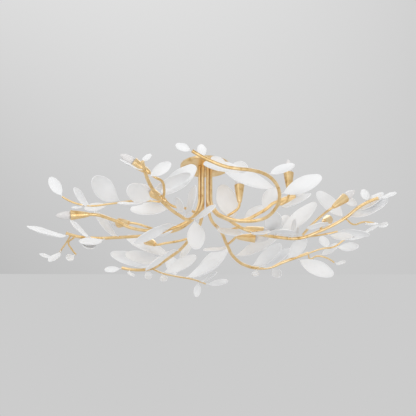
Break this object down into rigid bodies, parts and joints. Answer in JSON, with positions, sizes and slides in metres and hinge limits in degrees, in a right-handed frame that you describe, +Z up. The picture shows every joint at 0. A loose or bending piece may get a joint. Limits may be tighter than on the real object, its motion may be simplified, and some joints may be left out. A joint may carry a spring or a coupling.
{
  "type": "ceiling light",
  "caption": "Semi-flush ceiling light with branching gold stems, cupped white leaves and candle lamps in flared cups under a flat round canopy.",
  "frame": {"origin": "centre of the canopy's rim in the ceiling plane, midway between the two box screw slots", "axes": "+Z up into the ceiling, +X along the line of box screw slots, to the right as the picture is taken, +Y away from the camera"},
  "size_m": [1.468, 1.1741, 0.4005],
  "materials": {
    "gold": "satin gold leaf over iron",
    "steel": "zinc plated",
    "leaf": "matte white",
    "socket": "matt",
    "bulb": "frosted white"
  },
  "bodies": {
    "fixture": {"canopy": "gold", "mounting_plate": "steel", "hub_plate": "steel", "stem_nuts": "steel", "stem_1": "gold", "stem_2": "gold", "stem_3": "gold", "stem_4": "gold", "stem_5": "gold", "stem_6": "gold", "stem_7": "gold", "stem_8": "gold", "lamp_tubes_1": "gold", "lamp_tubes_2": "gold", "lamp_tubes_4": "gold", "lamp_tubes_5": "gold", "lamp_tubes_7": "gold", "lamp_tubes_8": "gold", "twigs_1": "gold", "twigs_3": "gold", "twigs_4": "gold", "twigs_5": "gold", "twigs_7": "gold", "leaves_1": "leaf", "leaves_2": "leaf", "leaves_3": "leaf", "leaves_4": "leaf", "leaves_5": "leaf", "leaves_6": "leaf", "leaves_7": "leaf", "leaves_8": "leaf", "cup_1": "gold", "cup_2": "gold", "cup_3": "gold", "cup_4": "gold", "cup_5": "gold", "cup_6": "gold", "cup_7": "gold", "cup_8": "gold", "cup_9": "gold", "cup_10": "gold", "cup_11": "gold", "cup_12": "gold", "sockets": "socket"},
    "bulb_1": {"bulb_1": "bulb"},
    "bulb_2": {"bulb_2": "bulb"},
    "bulb_3": {"bulb_3": "bulb"},
    "bulb_4": {"bulb_4": "bulb"},
    "bulb_5": {"bulb_5": "bulb"},
    "bulb_6": {"bulb_6": "bulb"},
    "bulb_7": {"bulb_7": "bulb"},
    "bulb_8": {"bulb_8": "bulb"},
    "bulb_9": {"bulb_9": "bulb"},
    "bulb_10": {"bulb_10": "bulb"},
    "bulb_11": {"bulb_11": "bulb"},
    "bulb_12": {"bulb_12": "bulb"},
    "canopy_nut_1": {"canopy_nut_1": "gold"},
    "canopy_nut_2": {"canopy_nut_2": "gold"}
  },
  "joints": [
    {"name": "bulb_1_turn", "type": "hinge", "parent": "fixture", "child": "bulb_1", "pos_m": [-0.4946, -0.12296, -0.26297], "axis": [-0.9919, -0.0992, -0.0794], "range_deg": [0, 1260]},
    {"name": "bulb_2_turn", "type": "hinge", "parent": "fixture", "child": "bulb_2", "pos_m": [0.33203, -0.06, -0.17219], "axis": [0.9806, 0, 0.1961], "range_deg": [0, 1260]},
    {"name": "bulb_3_turn", "type": "hinge", "parent": "fixture", "child": "bulb_3", "pos_m": [-0.24912, -0.30903, -0.13843], "axis": [-0.8425, -0.2207, 0.4915], "range_deg": [0, 1260]},
    {"name": "bulb_4_turn", "type": "hinge", "parent": "fixture", "child": "bulb_4", "pos_m": [-0.19456, -0.11052, -0.17296], "axis": [-0.8513, -0.2103, 0.4807], "range_deg": [0, 1260]},
    {"name": "bulb_5_turn", "type": "hinge", "parent": "fixture", "child": "bulb_5", "pos_m": [-0.33199, 0.06248, -0.22401], "axis": [-0.5997, 0.7497, 0.2799], "range_deg": [0, 1260]},
    {"name": "bulb_6_turn", "type": "hinge", "parent": "fixture", "child": "bulb_6", "pos_m": [-0.23013, 0.24518, -0.23687], "axis": [-0.5025, 0.7035, 0.5025], "range_deg": [0, 1260]},
    {"name": "bulb_7_turn", "type": "hinge", "parent": "fixture", "child": "bulb_7", "pos_m": [0.21111, 0.10401, -0.24152], "axis": [0.9821, 0.0802, -0.1704], "range_deg": [0, 1260]},
    {"name": "bulb_8_turn", "type": "hinge", "parent": "fixture", "child": "bulb_8", "pos_m": [0.18075, 0.16503, -0.249], "axis": [0.9949, 0.1005, 0], "range_deg": [0, 1260]},
    {"name": "bulb_9_turn", "type": "hinge", "parent": "fixture", "child": "bulb_9", "pos_m": [0.54135, -0.00855, -0.15563], "axis": [0.727, 0.2291, 0.6473], "range_deg": [0, 1260]},
    {"name": "bulb_10_turn", "type": "hinge", "parent": "fixture", "child": "bulb_10", "pos_m": [0.49746, 0.14239, -0.18005], "axis": [0.3491, 0.8479, 0.399], "range_deg": [0, 1260]},
    {"name": "bulb_11_turn", "type": "hinge", "parent": "fixture", "child": "bulb_11", "pos_m": [0.134, -0.073, -0.14], "axis": [0, 0, 1], "range_deg": [0, 1260]},
    {"name": "bulb_12_turn", "type": "hinge", "parent": "fixture", "child": "bulb_12", "pos_m": [0.32, -0.185, -0.136], "axis": [0, 0, 1], "range_deg": [0, 1260]},
    {"name": "canopy_nut_1_turn", "type": "hinge", "parent": "fixture", "child": "canopy_nut_1", "pos_m": [-0.05266, 0.0491, -0.014], "axis": [0, 0, 1], "continuous": true},
    {"name": "canopy_nut_2_turn", "type": "hinge", "parent": "fixture", "child": "canopy_nut_2", "pos_m": [0.05266, -0.0491, -0.014], "axis": [0, 0, 1], "continuous": true}
  ]
}
